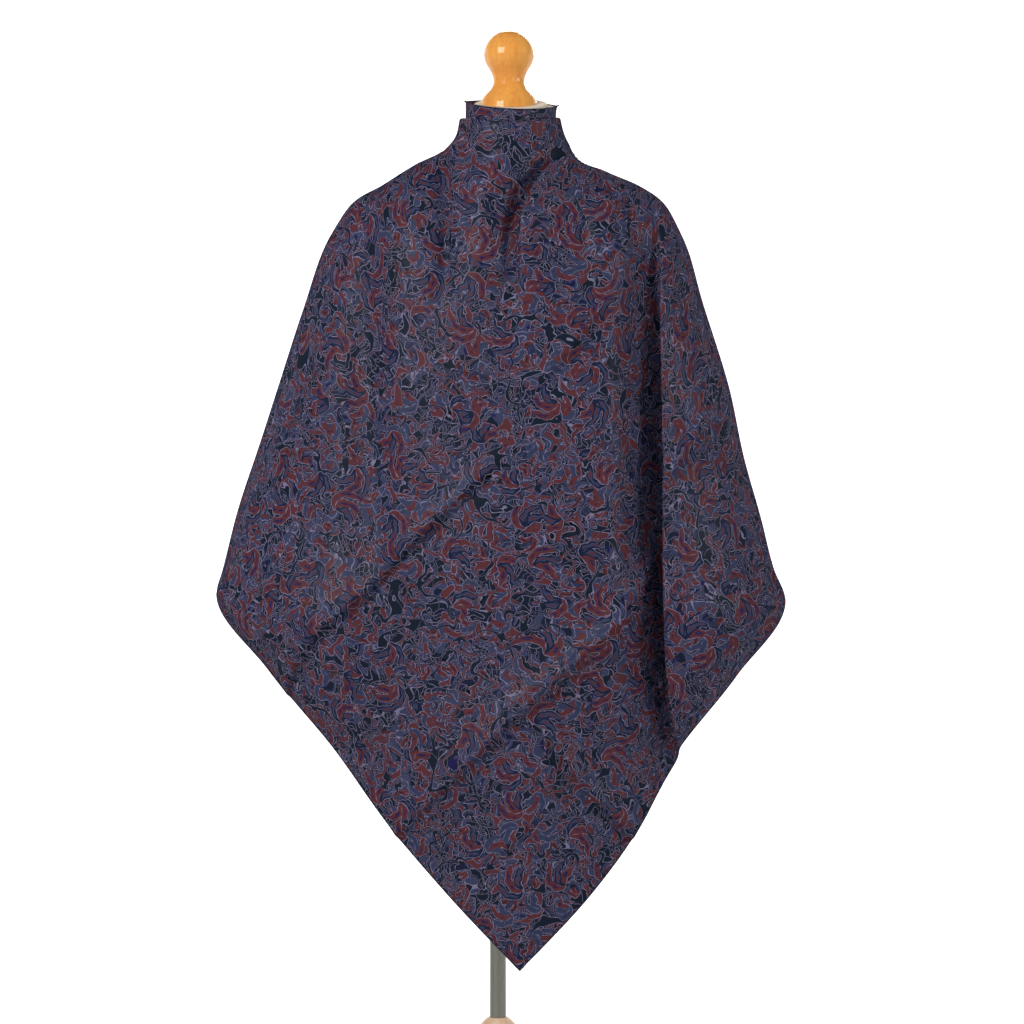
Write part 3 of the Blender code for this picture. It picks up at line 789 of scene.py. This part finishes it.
def leaves(g, colour, at, seed, scale, length, width, curl, sparse, families):
    """Fans of three curled leaves, at most one fan in each cell of a scattered net, turned at random."""
    moved = g.vector("ADD", g.vector("ADD", at, seed), push(g, at, RAGGED_SCALE, RAGGED_BY))
    found = g.cells(moved, scale, NET_RANDOMNESS)
    offset = g.vector("SUBTRACT", moved, found["Position"])
    pick, second, third = g.xyz(found["Color"])[:3]
    x, y = g.xyz(offset)[:2]
    radius = g.vector("LENGTH", offset)
    bend = g.math("SUBTRACT", g.math("MULTIPLY", g.math("GREATER_THAN", second, 0.5), 2.0 * curl), curl)
    start = g.math("MULTIPLY_ADD", radius, bend, g.math("MULTIPLY", pick, 2 * math.pi))
    around = g.math("WRAP", g.math("ADD", g.math("ARCTAN2", y, x), start), math.pi, -math.pi)
    which = g.math("ROUND", g.math("DIVIDE", around, FAN_SPREAD))
    which = g.math("MAXIMUM", g.math("MINIMUM", which, 1.0), -1.0)
    own = g.math("SUBTRACT", around, g.math("MULTIPLY", which, FAN_SPREAD))
    along = g.math("MULTIPLY", radius, g.math("COSINE", own))
    away = g.math("ABSOLUTE", g.math("MULTIPLY", radius, g.math("SINE", own)))
    shorter = g.math("MULTIPLY_ADD", which, NEIGHBOUR_LENGTH, MIDDLE_LENGTH)
    reach = g.math("MULTIPLY_ADD", third, LENGTH_SPREAD * length, SHORTEST * length)
    part = g.math("DIVIDE", along, g.math("MULTIPLY", reach, shorter), clamp=True)
    swell = g.math("MULTIPLY", part, g.math("POWER", g.math("SUBTRACT", 1.0, part), TIP_POWER))
    wave = g.math("SINE", g.math("MULTIPLY", along, LOBE_PACE / width))
    lobes = g.math("MULTIPLY_ADD", wave, LOBE_SIZE, 1.0)
    half = g.math("MULTIPLY", g.math("MULTIPLY", swell, lobes), FULLNESS * width)
    half = g.math("MULTIPLY", half, g.math("GREATER_THAN", second, sparse))
    inside = g.math("SUBTRACT", half, away)
    share = g.math("MULTIPLY_ADD", inside, 1.0 / LEAF_DEPTH, EDGE_SHARE)
    family = g.math("GREATER_THAN", g.math("FRACT", g.math("MULTIPLY_ADD", which, FAMILY_STEP, third)), 0.5)
    body = g.mix(family, g.ramp(share, families[0]), g.ramp(share, families[1]))
    return g.mix(g.math("GREATER_THAN", share, LEAF_FROM), colour, body)


def ground_bands(g, at):
    """What shows between the leaves: dark flowing bands with thin contours, in two families of inks."""
    bent = g.vector("ADD", at, push(g, at, GROUND_PUSH_SCALE, GROUND_PUSH))
    height = g.noise(bent, GROUND_SCALE, 0.5)[0]
    level = g.math("FRACT", g.math("MULTIPLY", height, GROUND_REPEATS))
    cool = g.ramp(level, COOL_BANDS)
    warm = g.ramp(level, WARM_BANDS)
    where = g.noise(g.vector("ADD", at, WARM_START), WARM_SCALE, 0.5)[0]
    return g.mix(g.math("GREATER_THAN", where, WARM_FROM), cool, warm)


def stems(g, colour, at, seed, scale, level, width, ink):
    """Long scrolling branches: a band that swells and thins about one level of a slow noise."""
    moved = g.vector("ADD", at, seed)
    bent = g.vector("ADD", moved, push(g, moved, STEM_PUSH_SCALE, STEM_PUSH))
    off = g.math("ABSOLUTE", g.math("SUBTRACT", g.noise(bent, scale, 1.0)[0], level))
    thick = g.noise(moved, scale * SWELL_SCALE, 0.0)[0]
    swell = g.math("MULTIPLY_ADD", thick, width * SWELL_SIZE, -SWELL_LEAST * width)
    signed = g.math("DIVIDE", g.math("SUBTRACT", off, swell), width)
    colour = g.mix(g.math("LESS_THAN", signed, STEM_LINE), colour, INK["line"])
    return g.mix(g.math("LESS_THAN", signed, STEM_BODY), colour, INK[ink])


def silk_print(g, at):
    """A generic scroll of leaves in slate, navy and rust."""
    colour = ground_bands(g, at)
    colour = leaves(g, colour, at, *SMALL_LEAVES)
    colour = leaves(g, colour, at, *MIDDLE_LEAVES)
    colour = stems(g, colour, at, *RUST_STEMS)
    colour = leaves(g, colour, at, *LONG_LEAVES)
    colour = stems(g, colour, at, *TEAL_STEMS)
    return leaves(g, colour, at, *LARGE_LEAVES)


# Sizes and colours of the materials: sizes in metres, colours linear.
TWILL_COUNT = 900.0  # ribs to the metre
TWILL_SHADE = 0.05
WEAR_SCALE = 9.0
WEAR_SHADE = 0.16
SILK_ROUGHNESS = 0.50  # of the smoothest patches
SILK_ROUGHER = 0.14  # how much rougher the roughest are
PATCH_SCALE = 60.0
SILK_GLOSS = 0.15
STITCH_PITCH = 0.0045
HEM_DARK = (0.006, 0.006, 0.012)
HEM_LIGHT = (0.022, 0.020, 0.040)
ROW_PITCH = 0.0011
WALE_PITCH = 0.0013
WALE_SLANT = 0.6  # how much the wales are counted by depth, beside their count across
CREAM_DARK = (0.66, 0.55, 0.39)
CREAM_LIGHT = (0.76, 0.67, 0.52)
GRAIN_PULL = (1.0, 1.0, 0.12)  # the grain is this much longer up the wood than across it
BROAD_GRAIN = 38.0
FINE_GRAIN = 240.0
FINE_SHARE = 0.35
GRAIN_FROM = 0.36  # the figure's value that is all dark wood
GRAIN_TO = 0.64  # and the one that is all light wood
WOOD_ROUGHER = 0.10
WOOD_GLOSS = 0.3
HONEY_LIGHT = (0.86, 0.39, 0.080)
HONEY_DARK = (0.74, 0.285, 0.052)
PALE_LIGHT = (0.78, 0.56, 0.40)
PALE_DARK = (0.64, 0.42, 0.27)
DRAWN_PULL = (1.0, 1.0, 0.02)
DRAWN_LINES = 900.0
STEEL_DARK = (0.24, 0.24, 0.205)
STEEL_LIGHT = (0.335, 0.33, 0.285)
PAPER_WHITE = (0.60, 0.60, 0.60, 1.0)
GLOSS_FACING = 0.45  # Layer Weight's facing value up to which a gloss is whole
GLOSS_ASIDE = 0.85  # and from which there is none


def new_material(name):
    made = bpy.data.materials.new(name)
    made.use_nodes = True
    shader = made.node_tree.nodes["Principled BSDF"]
    return made, Graph(made.node_tree), shader


def bumped(g, shader, height, strength, distance):
    bump = g.node("ShaderNodeBump")
    bump.inputs["Strength"].default_value = strength
    bump.inputs["Distance"].default_value = distance
    g.link(height, bump.inputs["Height"])
    g.link(bump.outputs[0], shader.inputs["Normal"])


def twill(g, at, count):
    """The diagonal ribs of silk twill, with count ribs to the metre."""
    x, y = g.xyz(at)[:2]
    across = g.math("MULTIPLY", g.math("ADD", x, y), 2 * math.pi * count / math.sqrt(2))
    return g.math("SINE", across)


def printed_silk():
    """Printed silk twill: the print, the twill's ribs with painted shade in their grooves, faint handling
    marks and a soft gloss.
    """
    made, g, shader = new_material("printed silk twill")
    at = g.node("ShaderNodeUVMap", uv_map=UV_NAME).outputs[0]
    colour = silk_print(g, at)
    ribs = twill(g, at, TWILL_COUNT)
    # Painted shade of the ribs: the colour is lighter along their crests and darker in the grooves between
    # them.
    rib_shade = g.math("MULTIPLY_ADD", ribs, TWILL_SHADE, 1.0)
    worn = g.math("MULTIPLY_ADD", g.noise(at, WEAR_SCALE, 3.0)[0], WEAR_SHADE, 1.0 - WEAR_SHADE / 2)
    colour = g.vector("SCALE", colour, g.math("MULTIPLY", rib_shade, worn))
    g.link(colour, shader.inputs["Base Color"])
    patches = g.noise(at, PATCH_SCALE, 2.0)[0]
    g.link(g.math("MULTIPLY_ADD", patches, SILK_ROUGHER, SILK_ROUGHNESS), shader.inputs["Roughness"])
    shader.inputs["Specular IOR Level"].default_value = 0.0
    g.link(glossy_face(g, SILK_GLOSS), shader.inputs["Coat Weight"])
    shader.inputs["Coat Roughness"].default_value = 0.45
    bumped(g, shader, ribs, 0.10, 0.0001)
    return made


def hem_silk():
    """The rolled edge: the print's dark border colour, with the small dents of its stitches."""
    made, g, shader = new_material("rolled silk hem")
    at = g.node("ShaderNodeUVMap", uv_map=UV_NAME).outputs[0]
    along = g.xyz(at)[0]
    stitch = g.math("SINE", g.math("MULTIPLY", along, 2 * math.pi / STITCH_PITCH))
    tone = g.noise(at, 40.0, 2.0)[0]
    g.link(g.mix(tone, HEM_DARK, HEM_LIGHT), shader.inputs["Base Color"])
    shader.inputs["Roughness"].default_value = 0.55
    shader.inputs["Specular IOR Level"].default_value = 0.3
    bumped(g, shader, stitch, 0.5, 0.0003)
    return made


def cream_jersey():
    """Fine knit over the form: small loops in the object's own metres."""
    made, g, shader = new_material("cream jersey")
    at = g.node("ShaderNodeTexCoord").outputs["Object"]
    x, y, z = g.xyz(at)[:3]
    rows = g.math("SINE", g.math("MULTIPLY", z, 2 * math.pi / ROW_PITCH))
    around = g.math("ADD", x, g.math("MULTIPLY", y, WALE_SLANT))
    wales = g.math("SINE", g.math("MULTIPLY", around, 2 * math.pi / WALE_PITCH))
    loops = g.math("MULTIPLY", rows, wales)
    tone = g.noise(at, 14.0, 3.0, dimensions="3D")[0]
    g.link(g.mix(tone, CREAM_DARK, CREAM_LIGHT), shader.inputs["Base Color"])
    shader.inputs["Roughness"].default_value = 0.88
    shader.inputs["Sheen Weight"].default_value = 0.15
    bumped(g, shader, loops, 0.25, 0.0003)
    return made


def glossy_face(g, amount):
    """Gloss for what faces the eye, without a pale rim."""
    facing = g.node("ShaderNodeLayerWeight")
    facing.inputs["Blend"].default_value = 0.5
    return g.between(facing.outputs["Facing"], GLOSS_FACING, GLOSS_ASIDE, amount, 0.0)


def grained(name, light, dark, roughness):
    """Varnished wood with its grain upright."""
    made, g, shader = new_material(name)
    at = g.node("ShaderNodeTexCoord").outputs["Object"]
    pulled = g.vector("MULTIPLY", at, GRAIN_PULL)
    broad = g.noise(pulled, BROAD_GRAIN, 3.0, dimensions="3D")[0]
    fine = g.noise(pulled, FINE_GRAIN, 4.0, 0.6, dimensions="3D")[0]
    figure = g.math("MULTIPLY_ADD", fine, FINE_SHARE, g.math("MULTIPLY", broad, 1.0 - FINE_SHARE))
    g.link(g.mix(g.between(figure, GRAIN_FROM, GRAIN_TO), dark, light), shader.inputs["Base Color"])
    rough = g.math("MULTIPLY_ADD", fine, WOOD_ROUGHER, roughness - WOOD_ROUGHER / 2)
    g.link(rough, shader.inputs["Roughness"])
    shader.inputs["Specular IOR Level"].default_value = 0.15
    g.link(glossy_face(g, WOOD_GLOSS), shader.inputs["Coat Weight"])
    shader.inputs["Coat Roughness"].default_value = 0.12
    bumped(g, shader, fine, 0.06, 0.0004)
    return made


def polished_steel():
    """A steel tube with fine lines along it from drawing."""
    made, g, shader = new_material("polished steel tube")
    at = g.node("ShaderNodeTexCoord").outputs["Object"]
    drawn = g.vector("MULTIPLY", at, DRAWN_PULL)
    lines = g.noise(drawn, DRAWN_LINES, 2.0, dimensions="3D")[0]
    g.link(g.mix(lines, STEEL_DARK, STEEL_LIGHT), shader.inputs["Base Color"])
    shader.inputs["Metallic"].default_value = 1.0
    g.link(g.math("MULTIPLY_ADD", lines, 0.10, 0.22), shader.inputs["Roughness"])
    return made


def pale_paper():
    """White paper that glows behind the form, as a lit backdrop does, and faintly all round far out."""
    made, g, shader = new_material("pale studio paper")
    at = g.node("ShaderNodeTexCoord").outputs["Object"]
    shader.inputs["Base Color"].default_value = PAPER_WHITE
    shader.inputs["Roughness"].default_value = 0.9
    shader.inputs["Specular IOR Level"].default_value = 0.1
    shader.inputs["Emission Color"].default_value = (1.0, 1.0, 1.0, 1.0)
    behind = g.between(g.xyz(at)[1], *BACK_GLOW)
    around = g.between(g.vector("LENGTH", at), *FLOOR_GLOW)
    g.link(g.math("MAXIMUM", behind, around), shader.inputs["Emission Strength"])
    return made


def scarf_fall(silk):
    sheet = fall_sheet()
    faces = np.array(sheet.faces)
    sheet.points = with_relief(np.array(sheet.points), faces, np.array(sheet.flat))
    points, faces = thickened(sheet.points, faces, SILK_WALL)
    flat = np.concatenate([sheet.flat, sheet.flat])
    return add_mesh("silk_main_fall", points, faces, silk, flat, "scarf_main_fall"), sheet


def rolled_hem(sheet, made_of):
    """A fine rolled edge round all of the cloth's hems, from one end of the neck fold to the other."""
    rows = range(1, 2 * CELLS - FOLDED_IN + 1)
    right = [(min(row, 2 * CELLS - row), row) for row in rows]
    left = [(-column, row) for column, row in right[::-1]]
    path = np.array([sheet.points[sheet.index[key]] for key in left + [(0, 0)] + right])
    points, faces = tube(path, HEM_RADIUS, TUBE_SIDES)
    side_width = 0.001
    flat = [(run, side * side_width) for run in length_of(path) for side in range(TUBE_SIDES)]
    return add_mesh("silk_rolled_hem", points, faces, made_of, flat)


def band_sheet():
    """The stretch round the neck: it stands up to a small roll outwards and a short way down again."""
    sheet = Sheet()
    round_neck = 2 * math.pi - BAND_OPENING
    for column in range(BAND_COLUMNS + 1):
        share = column / BAND_COLUMNS
        angle = math.pi / 2 + BAND_OPENING / 2 + round_neck * share
        tilted = BAND_TOP_MIDDLE + NECK_TILT * math.sin(angle) * NECK_RADIUS - BAND_TOP_LEAN * math.cos(angle)
        top = tilted - BAND_ROLL - BAND_BACK_DROP * math.sqrt(max(math.sin(angle), 0.0))
        right = math.exp(-((math.remainder(angle, 2 * math.pi) / FLARE_SPREAD) ** 2))
        ripple = sum(height * math.sin(waves * angle + phase) for height, waves, phase in BAND_RIPPLES)
        for row in range(BAND_ROWS + 1):
            up = min(row / BAND_STANDING, 1.0)
            roll = math.pi * max(row - BAND_STANDING, 0) / (BAND_ROWS - BAND_STANDING)
            z = BAND_BOTTOM + (top - BAND_BOTTOM) * up + BAND_ROLL * math.sin(roll)
            radius = NECK_RADIUS + BAND_GAP + BAND_ROLL * (1 - math.cos(roll))
            radius += up**FLARE_RISE * (BAND_FLARE * right) + up * abs(ripple)
            place = (NECK_X + radius * math.cos(angle), radius * math.sin(angle), z)
            used = (top - BAND_BOTTOM) * up + BAND_ROLL * roll
            flat = (share * round_neck * NECK_RADIUS + BAND_ON_PRINT[0], used + BAND_ON_PRINT[1])
            sheet.add((column, row), place, flat)
    sheet.join()
    return sheet


def neck_band(silk):
    sheet = band_sheet()
    points, faces = thickened(np.array(sheet.points), np.array(sheet.faces), SILK_WALL)
    flat = np.concatenate([sheet.flat, sheet.flat])
    return add_mesh("silk_neck_band", points, faces, silk, flat, "scarf_neck_band")


def dress(node, made_of):
    """A CAD node that is kept, with a better material."""
    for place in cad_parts[node].material_slots:
        place.material = made_of


# The camera of the photo.
CAMERA_DISTANCE = 4.0
CAMERA_X = 0.0175  # from the pole
CAMERA_HEIGHT = 0.961
SENSOR = 36.0
FRAME_WIDTH = 1.28  # metres across the frame at the pole

# The sweep of paper: a floor that bends up to a wall behind the form.
PAPER_FRONT = 14.0
PAPER_BACK = 8.0
PAPER_BEND = 1.5
PAPER_BEND_STEPS = 12
PAPER_RISE = 6.0
PAPER_REACH = 14.0

# How the paper glows: places where each glow begins and is whole, then its strength before and after.
BACK_GLOW = (1.4, 1.9, 0.0, 1.1)
FLOOR_GLOW = (2.0, 5.0, 0.10, 0.30)
WORLD_STRENGTH = 0.15

# The soft boxes: place, what it points at, size of its side in metres and power in watts.
SOFT_BOXES = {
    "key": ((-2.1, -2.7, 3.0), (0.0, 0.0, 0.95), 1.5, 112.0),
    "fill left": ((-1.8, -3.4, 1.75), (0.0, 0.0, 0.9), 0.70, 6.0),
    "fill right": ((1.8, -3.4, 1.75), (0.0, 0.0, 0.9), 0.70, 6.0),
    "side right": ((3.6, -1.3, 2.0), (0.0, 0.0, 0.9), 1.2, 46.0),
    "behind": ((0.5, 3.6, 2.8), (0.0, 0.0, 0.9), 1.5, 60.0),
}


def sweep():
    """The paper's floor, bend and wall."""
    profile = [(-PAPER_FRONT, 0.0), (PAPER_BACK - PAPER_BEND, 0.0)]
    for step in range(1, PAPER_BEND_STEPS + 1):
        turn = math.pi / 2 * step / PAPER_BEND_STEPS
        back = PAPER_BACK - PAPER_BEND * (1 - math.sin(turn))
        profile.append((back, PAPER_BEND * (1 - math.cos(turn))))
    profile.append((PAPER_BACK, PAPER_RISE))
    points = [(side, y, z) for y, z in profile for side in (-PAPER_REACH, PAPER_REACH)]
    faces = [(2 * k, 2 * k + 1, 2 * k + 3, 2 * k + 2) for k in range(len(profile) - 1)]
    mesh = bpy.data.meshes.new("studio_paper")
    mesh.from_pydata(points, [], faces)
    mesh.materials.append(pale_paper())
    mesh.shade_smooth()
    paper = bpy.data.objects.new("studio_paper", mesh)
    bpy.context.scene.collection.objects.link(paper)


def studio():
    sweep()
    world = bpy.data.worlds.new("studio")
    world.use_nodes = True
    back = world.node_tree.nodes["Background"]
    back.inputs["Color"].default_value = (1.0, 1.0, 1.0, 1.0)
    back.inputs["Strength"].default_value = WORLD_STRENGTH
    bpy.context.scene.world = world
    for name, settings in SOFT_BOXES.items():
        soft_box(name, *settings)


def soft_box(name, place, target, size, power):
    light = bpy.data.lights.new(name, "AREA")
    light.shape = "SQUARE"
    light.size = size
    light.energy = power
    obj = bpy.data.objects.new(name, light)
    obj.location = place
    away = Vector(place) - Vector(target)
    obj.rotation_euler = away.to_track_quat("Z", "Y").to_euler()  # a light shines along its own -Z
    bpy.context.scene.collection.objects.link(obj)


def photo_camera():
    camera = bpy.data.cameras.new("photo camera")
    camera.sensor_width = SENSOR
    camera.lens = SENSOR * CAMERA_DISTANCE / FRAME_WIDTH
    obj = bpy.data.objects.new("photo camera", camera)
    obj.location = (AXIS[0] + CAMERA_X, AXIS[1] - CAMERA_DISTANCE, CAMERA_HEIGHT)
    obj.rotation_euler = (math.pi / 2, 0.0, 0.0)
    bpy.context.scene.collection.objects.link(obj)
    bpy.context.scene.camera = obj


def main():
    silk = printed_silk()
    fall, sheet = scarf_fall(silk)
    hem = rolled_hem(sheet, hem_silk())
    band = neck_band(silk)
    jersey = cream_jersey()
    dress("form_torso", jersey)
    dress("form_neck_cap", jersey)
    dress("form_finial", grained("honey varnished wood", HONEY_LIGHT, HONEY_DARK, 0.25))
    pale = grained("pale turned wood", PALE_LIGHT, PALE_DARK, 0.35)
    dress("stand_hub", pale)
    for number in (1, 2, 3):
        dress(f"stand_leg_{number}", pale)
    dress("stand_pole", polished_steel())
    studio()
    photo_camera()
    bpy.context.scene.view_settings.view_transform = "Standard"


main()
